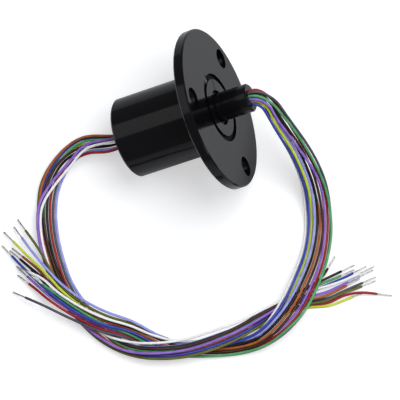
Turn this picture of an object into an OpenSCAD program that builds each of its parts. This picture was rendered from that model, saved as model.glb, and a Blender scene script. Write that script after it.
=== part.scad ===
// Capsule slip ring, twelve circuits, lying on its flange rim and rear edge
// with both lead bundles looped round on the table beside it.
// Axis distances are measured from the back face of the flange, positive
// toward the shaft. The model stands with +Z up, in millimetres.

/* [Housing] */
// Diameter of the housing barrel
body_d = 22; // [20:0.5:26]
// Length of the barrel behind the flange
body_len = 25; // [24:0.5:40]
// Diameter of the mounting flange
flange_d = 44.5; // [40:0.5:60]
// Thickness of the flange
flange_t = 2.8; // [2.6:0.1:5]
// Rounding of the flange's outer corners
flange_edge_r = 0.35; // [0.1:0.05:0.8]
// Diameter of the inner cavity
cavity_d = 18.6; // [18.4:0.1:19]
// Thickness of the rear wall
rear_wall = 2; // [1.6:0.1:2.4]
// Bevel round the rear edge of the barrel
rear_bevel = 0.5; // [0.2:0.1:0.8]
// Diameter of the lead exit in the rear wall
rear_exit_d = 5; // [4.8:0.1:6]

/* [Mounting holes] */
// Diameter of each mounting hole
hole_d = 5.5; // [3:0.1:6]
// Wall between each hole and the flange's rim
hole_edge = 1.7; // [1.2:0.1:3]
// Number of mounting holes
hole_count = 3; // [2:1:6]

/* [Front cover] */
// Diameter of the recess in the flange face
recess_d = 19.1; // [18.5:0.1:22]
// Depth of the recess
recess_depth = 1.3; // [1.1:0.05:1.6]
// Diameter of the raised centre of the cover
cover_boss_d = 16; // [14:0.1:17]
// Thickness of the cover's thin outer lip
cover_lip_t = 0.5; // [0.3:0.05:0.7]
// Diameter of the opening round the shaft
cover_bore_d = 9.8; // [9.6:0.1:11]
// Width of the slit in the cover
slit_w = 0.35; // [0.2:0.05:0.6]
// Width of the locking key in the groove
key_w = 1.3; // [0.8:0.1:2]

/* [Rotor] */
// Diameter of the rotor shaft
shaft_d = 7.8; // [7.4:0.1:8]
// Length of shaft standing out in front of the flange
shaft_out = 9.2; // [7:0.1:14]
// Bore of the hollow shaft
shaft_bore_d = 4; // [3.95:0.05:4.2]
// Diameter of the shaft where it carries the contact rings
mandrel_d = 6; // [5.6:0.1:6.4]
// Bevel at the shaft's outer end
shaft_bevel = 0.4; // [0.1:0.1:0.8]

/* [Contacts] */
// Number of circuits
circuits = 12; // [2:1:12]
// Outer diameter of each contact ring
ring_d = 8.4; // [8:0.1:8.8]
// Share of a circuit's pitch that its contact ring takes
ring_share = 0.61; // [0.5:0.01:0.66]
// Depth of the groove that the brush wires run in
ring_groove = 0.15; // [0.1:0.05:0.2]
// Outer diameter of the spacers
spacer_d = 9.2; // [9:0.1:9.6]
// Diameter of the brush wire
brush_d = 0.3; // [0.2:0.02:0.34]
// Thickness of the brush board
board_t = 0.8; // [0.6:0.1:1]

/* [Bearings] */
// Width of both ball bearings
bearing_w = 3; // [2.6:0.1:3.2]
// Outer diameter of the rear bearing
rear_bearing_d = 13; // [12.6:0.1:13.4]
// Thickness of the bearing races
race_t = 1; // [0.8:0.05:1.1]

/* [Leads] */
// Diameter of each insulated lead
lead_d = 0.72; // [0.6:0.02:0.74]
// Diameter of the bare tinned conductor
core_d = 0.44; // [0.3:0.02:0.5]
// Length of the stripped end
strip_len = 4; // [2:0.5:6]

/* [Hidden] */
$fn = 96;

// Clearances between pieces
fit_gap = 0.05;
run_gap = 0.04;
side_gap = 0.1;
board_gap = 0.2;
eps = 0.01;

// Mounting holes stand in from the rim, and the front bearing in from the recess
hole_circle_d = flange_d - hole_d - 2 * hole_edge;
bearing_inset = 1.55;
front_bearing_d = recess_d - 2 * bearing_inset;

// How the slip ring lies: flange rim and rear edge both on the table
lean = atan((flange_d - body_d) / 2 / body_len);
back_x = 7.4;
back_z = flange_d / 2 * cos(lean);
axis_dir = [cos(lean), 0, sin(lean)];
upper_dir = [-sin(lean), 0, cos(lean)];

// Stations along the axis
cover_t = recess_depth;
cover_back = flange_t - cover_t;
shaft_end = flange_t + shaft_out;
wall_front = -body_len + rear_wall;
front_seat_d = front_bearing_d + 2 * fit_gap;
rear_seat_d = rear_bearing_d + 2 * fit_gap;
front_bearing_front = cover_back - side_gap;
front_bearing_back = front_bearing_front - bearing_w;
front_inner_d = shaft_d + 2 * fit_gap;
rear_inner_d = mandrel_d + 2 * fit_gap;
front_web_t = 0.6;
cavity_front = front_bearing_back - front_web_t;
shoulder_w = 0.8;
shoulder_h = 0.7;
shoulder_d = shaft_d + 2 * shoulder_h;
shoulder_back = front_bearing_back - shoulder_w;
rear_ledge_t = 0.9;
rear_bearing_back = wall_front + rear_ledge_t;
rear_bearing_front = rear_bearing_back + bearing_w;
mandrel_back = rear_bearing_back + side_gap;

// A full stack of circuits and the shortest sleeve fill the room on the shaft
full_stack = 12;
sleeve_l = 2.2;
sleeve_wall = 1;
stack_front = shoulder_back - side_gap / 2;
stack_room = stack_front - rear_bearing_front - side_gap - sleeve_l;
pitch = stack_room / (full_stack + 1 - ring_share);
ring_w = pitch * ring_share;
spacer_w = pitch - ring_w;
stack_back = stack_front - circuits * pitch - spacer_w;

// Locking key across the cover's edge, and the slit in the cover
key_sink = 0.4;
key_l = 2;
key_reach = 1.3;
key_below = 0.15;
key_angle = 130;
slit_angle = 100;

// Snap ring in its groove in front of the front bearing
snap_w = 0.6;
snap_h = 0.6;
snap_sink = 0.3;
snap_d = shaft_d + 2 * snap_h;
snap_seat_d = shaft_d - 2 * snap_sink;
snap_back = front_bearing_front + side_gap / 2;
snap_open_deg = 50;

// Ball sets
ball_d = 1.5;
balls = 9;
race_groove = 0.28;
cage_front = 0.5;
cage_back = 0.9;
cage_t = 0.5;

// Brush board and its wires
board_half_w = 4.9;
board_top = sqrt(pow(cavity_d / 2 - board_gap, 2) - pow(board_half_w, 2));
board_front = cavity_front - board_gap;
board_back = stack_back - board_gap;
brush_reach = 1.2;
brush_x = ring_d / 2 - ring_groove + brush_d / 2 + run_gap;
base_h = 0.9;
base_w = 0.62;

// Fill depth behind the exits
rear_fill_face = 0.5;
shaft_fill_face = 2.5;

// Puts a piece drawn along +Z, measured from the flange's back face, in place
module lying() {
    translate([back_x, 0, back_z]) rotate([0, 90 - lean, 0]) children();
}

// A ring drawn along the axis between two stations
module band(d_out, d_in, from, to) {
    translate([0, 0, from]) difference() {
        cylinder(h = to - from, d = d_out);
        translate([0, 0, -eps]) cylinder(h = to - from + 2 * eps, d = d_in);
    }
}

// ---------- housing ----------

module barrel_profile() {
    br = body_d / 2;
    fr = flange_d / 2;
    polygon([
        [0, -body_len],
        [br - rear_bevel, -body_len],
        [br, -body_len + rear_bevel],
        [br, 0],
        [fr - flange_edge_r, 0],
        [fr, flange_edge_r],
        [fr, flange_t - flange_edge_r],
        [fr - flange_edge_r, flange_t],
        [0, flange_t]
    ]);
}

// One step of the bore, between two stations
module bored(from, to, d) {
    translate([0, 0, from]) cylinder(h = to - from, d = d);
}

module housing() {
    color("#17171b") lying() difference() {
        rotate_extrude() barrel_profile();
        // Recess for the cover, bearing seats, cavity and lead exit
        translate([0, 0, cover_back]) cylinder(h = cover_t + eps, d = recess_d);
        bored(front_bearing_back, cover_back + eps, front_seat_d);
        bored(cavity_front - eps, front_bearing_back + eps, front_bearing_d - 2 * race_t);
        bored(rear_bearing_front, cavity_front, cavity_d);
        bored(rear_bearing_back, rear_bearing_front + eps, rear_seat_d);
        bored(wall_front, rear_bearing_back + eps, rear_bearing_d - 2 * race_t);
        bored(-body_len - eps, wall_front + eps, rear_exit_d);
        for (i = [0:hole_count - 1]) {
            rotate([0, 0, 180 + i * 360 / hole_count]) translate([hole_circle_d / 2, 0, -eps]) {
                cylinder(h = flange_t + 2 * eps, d = hole_d);
            }
        }
        // Shallow seat that holds the locking key
        key_place() translate([0, 0, cover_back - key_sink]) {
            linear_extrude(cover_t + key_sink + eps) square([key_l + 2 * fit_gap, key_w + 2 * fit_gap], true);
        }
    }
}

module key_place() {
    rotate([0, 0, key_angle]) translate([recess_d / 2 + key_l / 2 - key_reach, 0, 0]) children();
}

module front_cover() {
    lip_d = recess_d - 2 * fit_gap;
    color("#1c1c20") lying() difference() {
        translate([0, 0, cover_back]) union() {
            cylinder(h = cover_lip_t, d = lip_d);
            cylinder(h = cover_t, d = cover_boss_d);
        }
        translate([0, 0, cover_back - eps]) cylinder(h = cover_t + 2 * eps, d = cover_bore_d);
        // Slit across one side of the raised centre
        rotate([0, 0, slit_angle]) translate([cover_bore_d / 2 - 0.5, -slit_w / 2, cover_back + cover_lip_t]) {
            cube([(cover_boss_d - cover_bore_d) / 2 + 1, slit_w, cover_t]);
        }
        // Clearance for the locking key
        key_place() translate([0, 0, cover_back - eps]) {
            linear_extrude(cover_t + 2 * eps) square([key_l + 2 * fit_gap, key_w + 2 * fit_gap], true);
        }
    }
}

module cover_key() {
    color("#6a6a70") lying() key_place() translate([0, 0, cover_back - key_sink + fit_gap]) {
        linear_extrude(cover_t + key_sink - fit_gap - key_below) square([key_l, key_w], true);
    }
}

// ---------- rotor ----------

module shaft_profile() {
    sr = shaft_d / 2;
    mr = mandrel_d / 2;
    polygon([
        [shaft_bore_d / 2, mandrel_back],
        [mr, mandrel_back],
        [mr, stack_front],
        [shoulder_d / 2, stack_front],
        [shoulder_d / 2, front_bearing_back - side_gap / 2],
        [sr, front_bearing_back - side_gap / 2],
        [sr, snap_back],
        [snap_seat_d / 2, snap_back],
        [snap_seat_d / 2, snap_back + snap_w],
        [sr, snap_back + snap_w],
        [sr, shaft_end - shaft_bevel],
        [sr - shaft_bevel, shaft_end],
        [shaft_bore_d / 2, shaft_end]
    ]);
}

module rotor_shaft() {
    color("#1b1b1f") lying() rotate_extrude() shaft_profile();
}

module snap_ring() {
    color("#3b3b40") lying() difference() {
        band(snap_d, snap_seat_d + 2 * fit_gap, snap_back + fit_gap, snap_back + snap_w - fit_gap);
        translate([0, 0, snap_back]) linear_extrude(snap_w) polygon([
            [0, 0],
            [snap_d * cos(snap_open_deg / 2), snap_d * sin(snap_open_deg / 2)],
            [snap_d * cos(snap_open_deg / 2), -snap_d * sin(snap_open_deg / 2)]
        ]);
    }
}

// ---------- bearings ----------

// One race with the ball groove cut into its running face
module race(d_out, d_in, groove_d, from) {
    translate([0, 0, from]) difference() {
        band(d_out, d_in, 0, bearing_w);
        translate([0, 0, bearing_w / 2]) rotate_extrude() translate([groove_d / 2, 0]) {
            circle(d = ball_d + 2 * run_gap, $fn = 32);
        }
    }
}

function ball_circle(d_out, d_in) = (d_out + d_in) / 2;
function outer_land(d_out, d_in) = ball_circle(d_out, d_in) + ball_d - 2 * race_groove;
function inner_land(d_out, d_in) = ball_circle(d_out, d_in) - ball_d + 2 * race_groove;

module bearing_outer_races() {
    color("silver") lying() {
        race(front_bearing_d, outer_land(front_bearing_d, front_inner_d),
             ball_circle(front_bearing_d, front_inner_d), front_bearing_back);
        race(rear_bearing_d, outer_land(rear_bearing_d, rear_inner_d),
             ball_circle(rear_bearing_d, rear_inner_d), rear_bearing_back);
    }
}

module bearing_inner_races() {
    color("silver") lying() {
        race(inner_land(front_bearing_d, front_inner_d), front_inner_d,
             ball_circle(front_bearing_d, front_inner_d), front_bearing_back);
        race(inner_land(rear_bearing_d, rear_inner_d), rear_inner_d,
             ball_circle(rear_bearing_d, rear_inner_d), rear_bearing_back);
    }
}

module ball_set(circle_d, from) {
    for (i = [0:balls - 1]) {
        rotate([0, 0, i * 360 / balls]) translate([circle_d / 2, 0, from + bearing_w / 2]) {
            sphere(d = ball_d, $fn = 24);
        }
    }
}

module bearing_balls() {
    color("gainsboro") lying() {
        ball_set(ball_circle(front_bearing_d, front_inner_d), front_bearing_back);
        ball_set(ball_circle(rear_bearing_d, rear_inner_d), rear_bearing_back);
    }
}

// Ring cage with a round pocket for each ball
module cage(circle_d, from) {
    difference() {
        mid = from + bearing_w / 2;
        band(circle_d + cage_t, circle_d - cage_t, mid - cage_back, mid + cage_front);
        for (i = [0:balls - 1]) {
            rotate([0, 0, i * 360 / balls]) translate([circle_d / 2, 0, from + bearing_w / 2]) {
                rotate([0, 90, 0]) cylinder(h = 2 * cage_t, d = ball_d + 2 * run_gap, center = true, $fn = 24);
            }
        }
    }
}

module ball_cages() {
    color("#c9a96a") lying() {
        cage(ball_circle(front_bearing_d, front_inner_d), front_bearing_back);
        cage(ball_circle(rear_bearing_d, rear_inner_d), rear_bearing_back);
    }
}

// ---------- contact stack and brushes ----------

module contact_rings() {
    color("gold") lying() for (i = [0:circuits - 1]) {
        front = stack_front - spacer_w - i * pitch - fit_gap / 2;
        translate([0, 0, front - ring_w + fit_gap]) rotate_extrude() polygon([
            [rear_inner_d / 2, 0],
            [ring_d / 2, 0],
            [ring_d / 2, ring_w * 0.2],
            [ring_d / 2 - ring_groove, ring_w * 0.35],
            [ring_d / 2 - ring_groove, ring_w * 0.65 - fit_gap],
            [ring_d / 2, ring_w * 0.8 - fit_gap],
            [ring_d / 2, ring_w - fit_gap],
            [rear_inner_d / 2, ring_w - fit_gap]
        ]);
    }
}

module ring_spacers() {
    color("#3a5a86") lying() for (i = [0:circuits]) {
        front = stack_front - i * pitch;
        band(spacer_d, rear_inner_d, front - spacer_w, front - fit_gap / 2);
    }
}

// Sleeve that clamps the stack against the shoulder, behind the last spacer
module stack_sleeve() {
    color("#2a2a2e") lying() {
        band(mandrel_d + 2 * sleeve_wall, rear_inner_d, rear_bearing_front + side_gap, stack_back - fit_gap);
    }
}

// Lengthwise board above the rings, toward the upper side of the barrel
module brush_board() {
    color("#2f6b45") lying() translate([-board_top, -board_half_w, board_back]) {
        cube([board_t, 2 * board_half_w, board_front - board_back]);
    }
}

function ring_mid(i) = stack_front - spacer_w - ring_w / 2 - i * pitch;

// A pair of straight spring wires straddles each ring
module brush_wires() {
    color("#d9b44a") lying() for (i = [0:circuits - 1]) {
        for (side = [-1, 1]) {
            translate([-board_top + board_t + fit_gap, side * brush_x, ring_mid(i)]) rotate([0, 90, 0]) {
                cylinder(h = board_top - board_t + brush_reach, d = brush_d, $fn = 16);
            }
        }
    }
}

// Solder bead where each wire leaves the board
module brush_bases() {
    color("#b9bcc2") lying() for (i = [0:circuits - 1]) {
        for (side = [-1, 1]) {
            translate([-board_top + board_t, side * brush_x, ring_mid(i)]) rotate([0, 90, 0]) {
                band(base_w, brush_d + fit_gap, 0, base_h);
            }
        }
    }
}

// ---------- fills that hold the leads ----------

module rotor_fill() {
    color("#3c3c42") lying() translate([0, 0, mandrel_back]) {
        cylinder(h = shaft_end - shaft_fill_face - mandrel_back, d = shaft_bore_d - 2 * fit_gap);
    }
}

module rear_fill() {
    color("#2a2a30") lying() translate([0, 0, wall_front]) mirror([0, 0, 1]) {
        cylinder(h = rear_wall - rear_fill_face, d = rear_exit_d - 2 * fit_gap);
    }
}

// ---------- leads ----------

// Stations along each bundle: x and y of its middle line, height of its lowest
// leads, and how much higher each further layer lies. x is from the flange.
stator_stations = [
    [-28, 0.2, 6.5, 0.85], [-35, 1.8, 3.6, 0.85], [-41.5, -0.8, 1.6, 0.8],
    [-46.2, -6.2, 0.6, 0.8], [-48.4, -12, 0.4, 0.8], [-49.5, -19.5, 0.4, 0.8],
    [-49.4, -27, 0.4, 0.8], [-48.4, -34.5, 0.4, 0.8], [-45.2, -42.5, 0.4, 0.8],
    [-40.2, -50, 0.5, 0.8], [-35.2, -54.8, 1.6, 0.8], [-29.5, -57.4, 2.9, 0.8],
    [-20, -58.8, 3, 0.8], [-10, -57.9, 3, 0.8], [-4, -56.7, 2.2, 0.8], [3, -54.4, 0.6, 0.8],
    [9, -52.6, 0.4, 0.8], [15, -51.8, 0.4, 0.8], [20.5, -51.4, 0.4, 0.8]
];
rotor_stations = [
    [15.3, -2.8, 23.5, 1.05], [17, -6.5, 20.9, 1.1], [19, -10.1, 16.8, 1.2],
    [21, -14, 12.4, 1.2], [22.7, -18.4, 8.1, 1.15], [23.8, -22.9, 4.6, 1],
    [23.8, -28.7, 1.8, 0.85], [22.6, -34.5, 0.7, 0.8], [20, -41, 1.4, 0.8],
    [16.2, -47.2, 3.7, 0.85], [11.2, -53.4, 3.8, 0.8], [6, -57.5, 3.5, 0.8],
    [0.5, -60.3, 1.9, 0.8], [-5, -60.8, 0.65, 0.8], [-14, -59.6, 0.5, 0.8],
    [-22, -57.3, 0.45, 0.8], [-28, -53.5, 0.8, 0.8], [-33.3, -49.8, 2.6, 0.85],
    [-39.8, -46.2, 3.9, 0.85], [-45.5, -41.4, 3.8, 0.8], [-50.8, -35.2, 3.8, 0.8]
];

// One table per lead: its place in the exit, then how far to one side of the
// middle line it lies at each station, its layer there, and its free end.
stator_white = [
    [0.45, 1.27],
    [0, 1.2, 2.6, 1.2, -1.3, -2, -2, -2, -1.5, -0.4, 1.2, 1.8, 2.3, 2.3, 2, 1.8, 1.4, 1.4, 1.5],
    [3, 3, 3, 3, 3, 3, 3, 3, 3, 3, 3, 3, 2, 2, 2.2, 2.4, 3, 3, 1],
    [[24.5, -49.5, 1.1], [28, -48.75, 0.6], [30.8, -48.1, 0.45]]
];
stator_violet = [
    [-0.45, 1.27],
    [-0.9, 0.2, 1.6, 0, -2.2, -2.8, -2.8, -2.8, -2.4, -1.8, -1.4, -1, -0.6, -0.4, -0.2, 0, 0.2,
     -0.1, -0.2],
    [3, 3, 3, 3, 3, 3, 3, 3, 3, 3, 3, 3, 2, 2, 2.4, 3, 3, 3, 1],
    [[24, -50.7, 1.2], [26.8, -50, 1.1]]
];
stator_orange = [
    [-1, 0.42],
    [-2, -2.4, -2.2, -2.2, -2, -1.8, -1.6, -1.4, -1.2, -1.2, -1.2, -0.7, -0.7, -0.7, -0.35, 0, 0,
     -0.8, -1],
    [2, 2, 2, 2, 2, 2, 2, 2, 2, 2, 2, 1.8, 1, 1, 1.5, 1.9, 2, 2, 1],
    [[23.5, -51.6, 1.05], [26.3, -50.8, 0.85]]
];
stator_brown = [
    [-0.1, 0.42],
    [-0.4, 0, -0.6, -1, -1, -0.8, -0.6, -0.4, 0, 0.4, 0.4, 0.4, 0.3, 0.5, 0.8, 1, 0.9, 2.2, 4],
    [2, 2, 2, 2, 2, 2, 2, 2, 2, 2, 2, 2, 2, 2, 2, 2, 2, 2, 1.8],
    [[22.3, -45.2, 1.4]]
];
stator_olive = [
    [-1.35, -1.27],
    [-1.8, -2.4, -2.4, -2.6, -2.4, -2.4, -2.4, -2.4, -2.2, -2.2, -1.9, -2.1, -2.3, -2.3, -1.8,
     -1.4, -1.5, -1.8, -2.4],
    [0, 0, 0.4, 1, 1, 1, 1, 1, 1, 1, 1, 1, 1, 1, 1, 1, 1, 1, 1],
    [[24.5, -52.6, 1.2], [27.5, -52.3, 0.6], [30.3, -51.8, 0.45]]
];
stator_blue = [
    [-1.35, -0.46],
    [-2, -2.2, -1.8, -1.6, -1.6, -1.6, -1.6, -1.6, -1.4, -1.4, -1.1, -1.3, -1.5, -1.5, -1.1, -0.6,
     -0.5, 0.8, 1.9],
    [1, 1, 1, 1, 1, 1, 1, 1, 1, 1, 1, 1, 1, 1, 1, 1, 1, 1, 0.1],
    [[24.5, -48.8, 0.4], [28.8, -47.7, 0.4]]
];
stator_green = [
    [-0.45, -0.46],
    [-1.2, -1.4, -1, -0.8, -0.8, -0.8, -0.8, -0.6, -0.4, -0.2, -0.2, 0, 0.1, 0.1, 0.3, 0.8, 0.8,
     1.7, 2.8],
    [1, 1, 1, 1, 1, 1, 1, 1, 1, 1, 1, 1, 1, 1, 1, 1, 1, 1, 0.1],
    [[22.5, -48.3, 0.4], [25.4, -47.7, 0.4]]
];
stator_black = [
    [0.45, -0.46],
    [0.6, 0.8, 0, 0, 0, 0, 0, 0.2, 0.4, 0.8, 0.6, 0.8, 0.9, 0.9, 1.1, 1.6, 1.6, 2.5, 3.4],
    [for (i = [1:19]) 1],
    [[25.8, -46.6, 0.8]]
];
stator_yellow = [
    [-0.45, -1.27],
    [-0.8, -0.8, -1.2, -1.4, -1.4, -1.2, -1.2, -1.2, -1.2, -1.6, -1.6, -1.7, -1.8, -1.8, -1.6,
     -1.6, -1.8, -2.6, -3.8],
    [for (i = [1:19]) 0],
    [[24.5, -54.5, 0.4], [27.4, -54.1, 0.4]]
];
stator_red = [
    [1.35, -0.46],
    [2.2, 2.1, 1.4, 0.8, 0.8, 0.8, 0.8, 0.8, 0.6, 0, -0.8, -0.8, -0.8, -0.8, -0.8, -0.8, -1, -1.8,
     -3],
    [1, 1, 1, 1, 0.4, 0, 0, 0, 0, 0, 0, 0, 0, 0, 0, 0, 0, 0, 0],
    [[24.5, -53.2, 0.45], [29.5, -53.5, 1.2], [33.8, -54.8, 0.75]]
];
stator_slate = [
    [0.45, -1.27],
    [0.3, 0.4, 1, 1.6, 1.6, 1.6, 1.6, 1.6, 1.4, 0.8, 0.1, 0.2, 0.2, 0.2, 0, 0, 0, -0.8, -1.7],
    [for (i = [1:19]) 0],
    [[24.5, -52.15, 0.4], [30.7, -50.9, 0.4]]
];
stator_periwinkle = [
    [1.35, -1.27],
    [1.3, 1.5, 2, 2.4, 2.4, 2.4, 2.4, 2.4, 2.4, 1.8, 1, 1.2, 1.2, 1.2, 1, 1, 1, 0.4, 0.1],
    [for (i = [1:19]) 0],
    [[24.5, -50.4, 0.4], [30.4, -49, 0.4]]
];

rotor_white = [
    [1.2, -0.85],
    [1.8, 2, 2.2, 2.4, 2.8, 3.4, 3.8, 3.9, 3.9, 3.9, 3.7, 2.8, 2, 2, 2.1, 1.3, 0.4, 0.2, 0, -0.2,
     -0.6],
    [0, 0, 0, 0, 0, 0, 0, 0, 0, 0, 0, 0, 0, 0, 1, 2, 2, 2, 2, 2, 2],
    [[-53.3, -32.2, 4.9], [-57, -28.9, 3.4]]
];
rotor_violet = [
    [0.6, 0.85],
    [0.4, 0.6, 0.4, 0, -0.8, -1.4, -1.3, -1.3, -1.5, -1.6, -1.6, -1.4, -0.6, -0.4, -0.4, -0.4,
     -1.3, -1.8, -2, -2.2, -2.6],
    [2, 2, 2, 2, 2, 1.1, 0, 0, 0, 0, 0, 0, 0, 0, 0, 0, 0, 0, 0, 0, 0],
    [[-55.4, -33, 2.8], [-57.6, -29.6, 1.6]]
];
rotor_orange = [
    [-0.4, -0.85],
    [0.2, 0.4, 0.6, 0.6, 0.8, 0.6, 0.2, 0, 0.1, 0.1, 0.1, -0.2, -0.4, -0.4, -0.4, -0.8, -0.5, -0.4,
     -0.5, -0.5, -0.4],
    [0, 0, 0, 0, 0, 0, 0.2, 1, 1, 1, 1, 1, 1, 1, 1, 1, 0.8, 0.2, 0, 0, 0],
    [[-53.1, -30.6, 2.9], [-55.3, -27.2, 2.4], [-57.7, -23.9, 1.4]]
];
rotor_brown = [
    [-1.2, -0.85],
    [-0.8, -0.8, -0.8, -0.9, -0.8, -0.5, -0.5, -0.8, -0.7, -0.7, -0.7, -1, -1.2, -1.2, -1.2, -1.6,
     -1.3, -1.1, -1.3, -1.3, -1.3],
    [0, 0, 0.5, 1, 1, 1, 1, 1, 1, 1, 1, 1, 1, 1, 1, 1, 1.1, 0.6, 0, 0, 0],
    [[-54, -31.4, 2.7], [-56.1, -28.1, 1.5]]
];
rotor_olive = [
    [0.4, -0.85],
    [1, 1.2, 1.4, 1.6, 2, 2.6, 3, 3.1, 3.1, 3.1, 2.9, 2, 1.3, 1.2, 1.2, 1.3, 1.3, 1.2, 1.1, 1.2, 1.5],
    [for (i = [1:21]) 0],
    [[-51, -30, 4], [-52.9, -23.5, 3.4], [-55.4, -17, 1.6]]
];
rotor_blue = [
    [1.6, 0],
    [1.8, 2.2, 2.4, 2.4, 2.6, 2.8, 3.1, 3.1, 3.1, 3.1, 2.8, 2.2, 1.8, 1.2, -0.2, -1.4, -1.4, -1.3,
     -1.8, -1.9, -2],
    [1, 1, 1, 1, 1, 1, 1, 1, 1, 1, 1, 1.2, 2, 2, 2, 2, 2.1, 2.1, 1.9, 1.1, 1],
    [[-55, -32.2, 3.3], [-57.6, -28, 1.9], [-60.5, -23, 1]]
];
rotor_green = [
    [-0.2, 0.85],
    [-0.6, -1.2, -1.7, -2, -2.2, -2.5, -2.8, -3.1, -3.2, -3.3, -3.3, -2.8, -2.3, -2, -2.2, -2.4,
     -2.1, -1.9, -1.4, -1, -1.2],
    [2, 2, 1.6, 1, 1, 1, 1, 1, 1, 1, 1, 1, 1, 1, 1, 1, 1, 1.1, 1, 1, 1],
    [[-53.9, -33.4, 4.7]]
];
rotor_black = [
    [-0.8, 0],
    [-0.6, -0.2, 0, 0, 0.2, 0.4, 0.7, 0.8, 0.9, 0.9, 0.9, 0.6, 0.4, 0.4, 0.4, 0, 0.3, 0, 0, 0, -0.3],
    [for (i = [1:21]) 1],
    [[-53.6, -31.3, 3.9], [-55.8, -28.4, 3], [-58.5, -24.5, 1.6]]
];
rotor_yellow = [
    [0.8, 0],
    [0.9, 1.4, 1.6, 1.6, 1.8, 2, 2.2, 2.3, 2.3, 2.3, 2.1, 1.2, 0.5, 0.4, 0.4, 0.5, 0.5, 0.4, 0.3,
     0.3, 0.7],
    [1, 1, 1, 1, 1, 0.8, 0, 0, 0, 0, 0, 0, 0, 0, 0, 0, 0, 0, 0, 0, 0.9],
    [[-52.3, -31, 5.3], [-54.9, -26.8, 3.9], [-59.3, -19.3, 1.6]]
];
rotor_red = [
    [-1.6, 0],
    [-1.8, -1.9, -1.8, -1.8, -1.9, -2.2, -2.1, -2.1, -2.3, -2.4, -2.4, -2.2, -1.4, -1.2, -1.2,
     -1.2, -2.1, -2.5, -2.8, -3, -3.5],
    [for (i = [1:21]) 0],
    [[-55.6, -34.2, 2], [-57.6, -31.6, 1.3]]
];
rotor_slate = [
    [-1, 0.85],
    [-2, -2.3, -2.5, -2.8, -3.1, -3.1, -2.9, -2.9, -3.1, -3.2, -3.2, -3, -2.2, -2, -2, -2, -2.8,
     -3.1, -3.6, -4, -5.6],
    [1.1, 1, 1, 1, 0.6, 0, 0, 0, 0, 0, 0, 0, 0, 0, 0, 0, 0.2, 0.8, 0.7, 0, 0],
    [[-59.3, -35.3, 2]]
];
rotor_periwinkle = [
    [0, 0],
    [0.2, 0.6, 0.8, 0.8, 1, 1.2, 1.5, 1.6, 1.7, 1.7, 1.7, 1.4, 1.2, 1.2, 1.2, 0.8, 1.2, 1.7, 1.9,
     1.9, 1.9],
    [for (i = [1:21]) 1],
    [[-51.5, -30.4, 4.8], [-54.7, -23.9, 3.2], [-56.8, -18.8, 1.8]]
];

// Where each bundle leaves its bore, and how it opens out past the shaft
stator_exit = [-body_len + rear_fill_face, -body_len - 1];
rotor_exit = [shaft_end - shaft_fill_face, shaft_end];
open_out = 1.6;
open_wide = 1.5;
open_high = 1.2;
open_drop = [0, -0.3, -0.1];
long_step = 6.8;
lead_sides = 8;

function unit(v) = v / norm(v);
function axis_point(s, across, up) = [back_x, 0, back_z] + s * axis_dir + [0, -across, 0] + up * upper_dir;

// Sideways direction of a bundle at station i
function lane_dir(st, i) = let (
    a = st[max(i - 1, 0)],
    b = st[min(i + 1, len(st) - 1)],
    d = unit([b[0] - a[0], b[1] - a[1]])
) [-d[1], d[0], 0];

function lane_point(st, side, lead, i) = [back_x + st[i][0], st[i][1], st[i][2] + st[i][3] * lead[2][i]]
    + side * lead[1][i] * lane_dir(st, i);

function lane(st, side, lead) = concat(
    [for (i = [0:len(st) - 1]) lane_point(st, side, lead, i)],
    [for (p = lead[3]) p + [back_x, 0, 0]]
);

function stator_points(lead) = concat(
    [for (s = stator_exit) axis_point(s, lead[0][0], lead[0][1])],
    lane(stator_stations, 1, lead)
);

function rotor_points(lead) = concat(
    [for (s = rotor_exit) axis_point(s, lead[0][0], lead[0][1])],
    [axis_point(shaft_end + open_out, lead[0][0] * open_wide, lead[0][1] * open_high) + open_drop],
    lane(rotor_stations, -1, lead)
);

// Smooth curve through the points, with one more ring on each long step
function curve_at(a, b, c, d, t) =
    (2 * b + (c - a) * t + (2 * a - 5 * b + 4 * c - d) * t * t + (3 * b - a - 3 * c + d) * t * t * t) / 2;
function before(p) = 2 * p[0] - p[1];
function after(p) = 2 * p[len(p) - 1] - p[len(p) - 2];
function curve(p) = let (q = concat([before(p)], p, [after(p)])) concat(
    [for (i = [1:len(p) - 1]) let (n = norm(q[i + 1] - q[i]) > long_step ? 2 : 1)
        for (k = [0:n - 1]) curve_at(q[i - 1], q[i], q[i + 1], q[i + 2], k / n)],
    [p[len(p) - 1]]
);

function heading(c, i) = i == 0 ? unit(c[1] - c[0])
    : i == len(c) - 1 ? unit(c[i] - c[i - 1])
    : unit(c[i + 1] - c[i - 1]);

// Round tube swept along a curve
module tube(c, d) {
    last = len(c) - 1;
    rings = [for (i = [0:last]) let (
        f = heading(c, i),
        s = unit(cross(f, [0, 0, 1])),
        u = cross(s, f)
    ) for (k = [0:lead_sides - 1]) let (a = (k + 0.5) * 360 / lead_sides)
        c[i] + d / 2 * (cos(a) * s + sin(a) * u)];
    walls = [for (i = [0:last - 1]) for (k = [0:lead_sides - 1]) let (
        j = (k + 1) % lead_sides,
        a = i * lead_sides
    ) [a + k, a + j, a + lead_sides + j, a + lead_sides + k]];
    start = [for (k = [lead_sides - 1:-1:0]) k];
    end = [for (k = [0:lead_sides - 1]) last * lead_sides + k];
    polyhedron(rings, concat([start], walls, [end]), convexity = 10);
}

module stator_lead(lead, tint) {
    color(tint) tube(curve(stator_points(lead)), lead_d);
}

module rotor_lead(lead, tint) {
    color(tint) tube(curve(rotor_points(lead)), lead_d);
}

// Bare conductor that goes straight on from the cut end of a lead
module bare_end(c) {
    last = len(c) - 1;
    f = heading(c, last);
    translate(c[last]) rotate([0, acos(f[2]), atan2(f[1], f[0])]) cylinder(h = strip_len, d = core_d, $fn = 24);
}

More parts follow.
